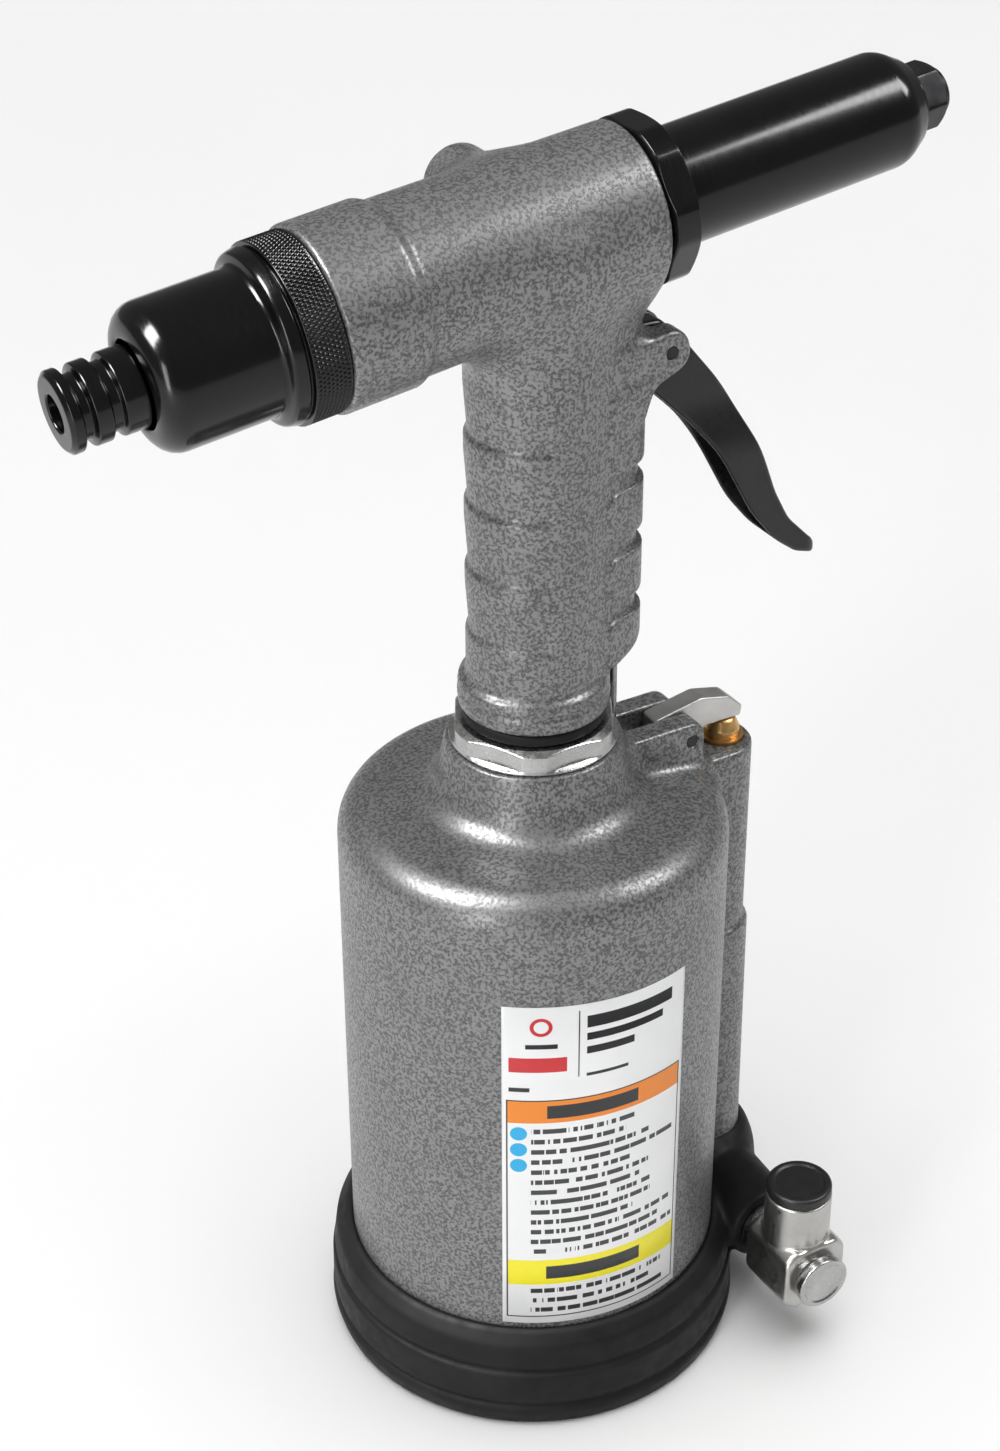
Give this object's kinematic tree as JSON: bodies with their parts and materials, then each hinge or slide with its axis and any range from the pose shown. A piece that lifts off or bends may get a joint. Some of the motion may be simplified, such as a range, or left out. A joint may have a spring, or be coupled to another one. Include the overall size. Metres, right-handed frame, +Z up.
{
  "type": "pneumatic rivet gun",
  "caption": "Air-hydraulic blind rivet gun with a hammered grey body, black nose and tail, trigger grip, rubber base and swivel air inlet",
  "frame": {"origin": "Centre of the rubber base, on the surface that it stands on", "axes": "+Z up along the air cylinder and the grip, +X to the nosepiece and trigger side, +Y by the right-hand rule"},
  "size_m": [0.2118, 0.1109, 0.3141],
  "materials": {
    "hammertone": "hammered enamel over cast aluminium, mid grey with darker veins",
    "rubber": "matt black moulded rubber",
    "seal_rubber": "black nitrile",
    "gloss_black": "gloss black anodised aluminium",
    "satin_black": "satin black coated steel",
    "black_steel": "blackened steel",
    "chrome": "bright plating",
    "satin_nickel": "satin nickel plated steel",
    "plated_steel": "zinc plated steel",
    "polished_steel": "ground hardened steel",
    "spring_steel": "spring steel",
    "machined_aluminium": "machined aluminium",
    "brass": "turned brass",
    "bronze": "sintered bronze",
    "copper_washer": "annealed copper",
    "black_plastic": "moulded black plastic",
    "label_vinyl": null
  },
  "bodies": {
    "gun": {"base_boot": "rubber", "air_cylinder": "hammertone", "cylinder_end_cap": "machined_aluminium", "end_cap_seal": "seal_rubber", "retaining_ring": "spring_steel", "gun_body": "hammertone", "bleed_screw": "black_steel", "bleed_washer": "copper_washer", "ram_gland": "bronze", "ram_seal": "seal_rubber", "lock_nut": "chrome", "neck_seal": "seal_rubber", "rod_gland": "bronze", "return_spring": "spring_steel", "frame_head": "gloss_black", "head_lock_nut": "gloss_black", "nosepiece": "black_steel", "rear_cap": "gloss_black", "mandrel_outlet": "gloss_black", "trigger_pin": "black_steel", "rocker_pin": "black_steel", "valve_bush": "brass", "valve_spring": "spring_steel", "exhaust_muffler": "bronze", "banjo_bolt": "chrome", "swivel_spacer": "chrome", "label": "label_vinyl"},
    "air_piston_assembly": {"air_piston": "machined_aluminium", "air_piston_seal": "seal_rubber", "hydraulic_ram": "polished_steel", "piston_nut": "plated_steel"},
    "puller": {"head_piston": "polished_steel", "head_piston_seal": "seal_rubber", "jaw_case": "black_steel", "jaws": "polished_steel", "jaw_pusher": "polished_steel", "jaw_spring": "spring_steel"},
    "trigger_lever": {"trigger": "satin_black"},
    "linkage_rod": {"pull_rod": "spring_steel"},
    "rocker": {"valve_rocker": "plated_steel"},
    "throttle_valve": {"valve_stem": "brass"},
    "inlet_swivel": {"swivel_body": "satin_nickel", "swivel_seals": "seal_rubber"},
    "plug": {"dust_plug": "black_plastic"}
  },
  "joints": [
    {"name": "trigger_pull", "type": "hinge", "parent": "gun", "child": "trigger_lever", "pos_m": [0.0293, 0, 0.2615], "axis": [0, 1, 0], "range_deg": [0, 15], "stiffness_Nm_per_rad": 0.6, "springref_deg": -6.88},
    {"name": "rod_lift", "type": "slide", "parent": "gun", "child": "linkage_rod", "axis": [0, 0, 1], "range_m": [0, 0.0021]},
    {"name": "rocker_turn", "type": "hinge", "parent": "gun", "child": "rocker", "pos_m": [0.0383, 0, 0.1602], "axis": [0, 1, 0], "range_deg": [0, 7]},
    {"name": "valve_press", "type": "slide", "parent": "gun", "child": "throttle_valve", "axis": [0, 0, -1], "range_m": [0, 0.0018], "deforming": ["valve_spring"]},
    {"name": "air_stroke", "type": "slide", "parent": "gun", "child": "air_piston_assembly", "axis": [0, 0, 1], "range_m": [0, 0.08], "stiffness_N_per_m": 150, "springref_m": -0.03},
    {"name": "pull_stroke", "type": "slide", "parent": "gun", "child": "puller", "axis": [-0.9917, 0, -0.1288], "range_m": [0, 0.016], "deforming": ["return_spring"]},
    {"name": "swivel_turn", "type": "hinge", "parent": "gun", "child": "inlet_swivel", "pos_m": [0.0504, -0.046, 0.022], "axis": [0, 1, 0], "range_deg": [-10, 130]},
    {"name": "plug_pull", "type": "slide", "parent": "inlet_swivel", "child": "plug", "axis": [0, 0, 1], "range_m": [0, 0.045]}
  ],
  "couplings": [
    {"joint": "rod_lift", "follows": "trigger_pull", "m_per_rad": 0.0078},
    {"joint": "rocker_turn", "follows": "trigger_pull", "ratio": 0.464},
    {"joint": "valve_press", "follows": "trigger_pull", "m_per_rad": 0.0068},
    {"joint": "pull_stroke", "follows": "air_stroke", "ratio": 0.2}
  ]
}
